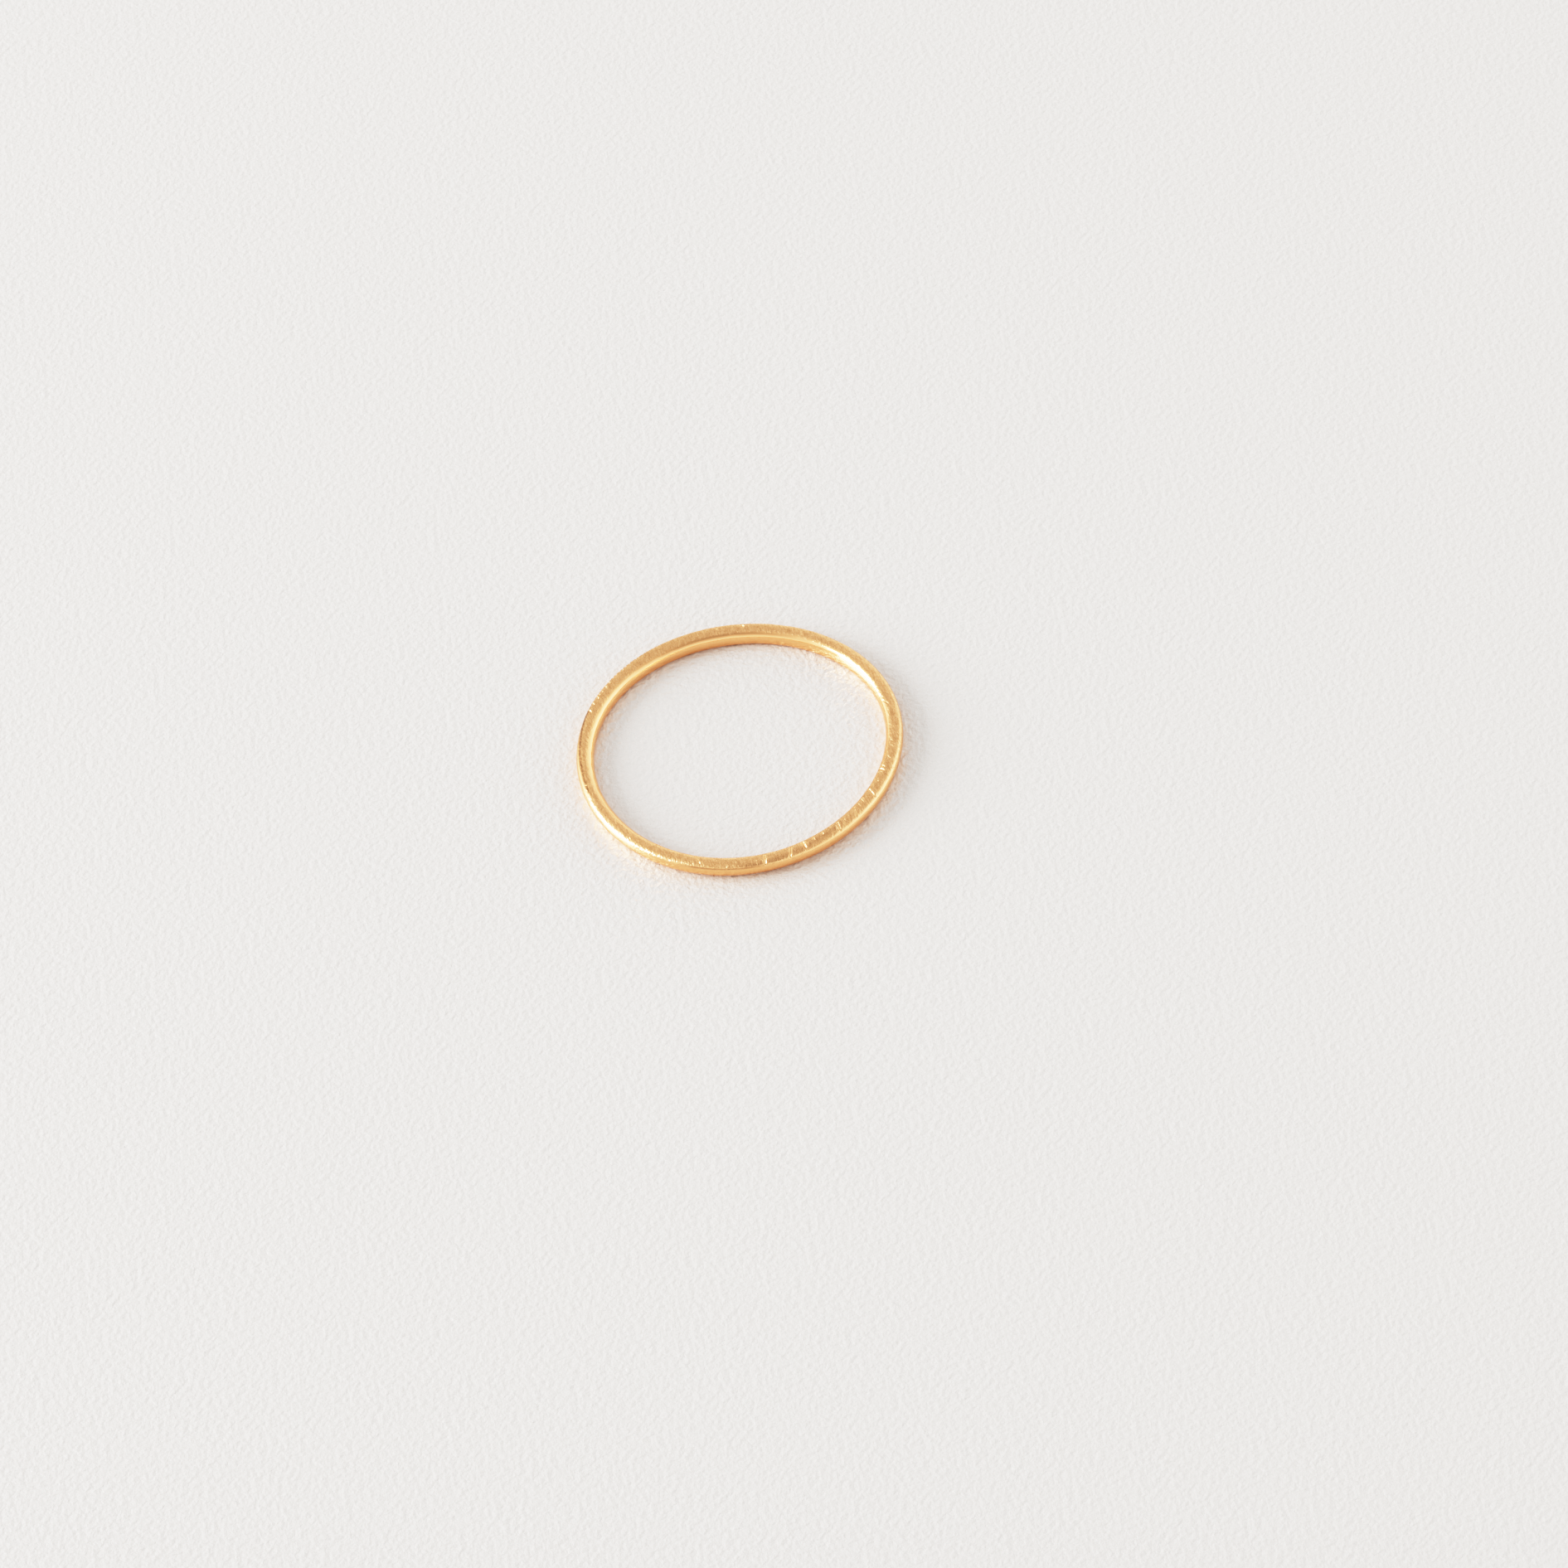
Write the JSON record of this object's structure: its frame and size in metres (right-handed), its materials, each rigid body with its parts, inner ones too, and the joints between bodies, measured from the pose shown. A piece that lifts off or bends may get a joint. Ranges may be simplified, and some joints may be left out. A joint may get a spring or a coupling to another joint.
{
  "type": "stackable ring",
  "caption": "Thin round-wire finger ring with a flattened, cut top face, worn alone or stacked against others.",
  "frame": {"origin": "middle of the ring's footprint on the surface that it lies on", "axes": "+Z along the finger hole, out of the flattened, cut face; +X towards the side at the right of the picture, at the far end of the ring's widest line across the picture"},
  "size_m": [0.019, 0.019, 0.001],
  "materials": {
    "gold": "polished yellow gold, with a satin top face crossed by short bright cuts"
  },
  "bodies": {
    "root": {"ring_band": "gold"}
  },
  "joints": []
}
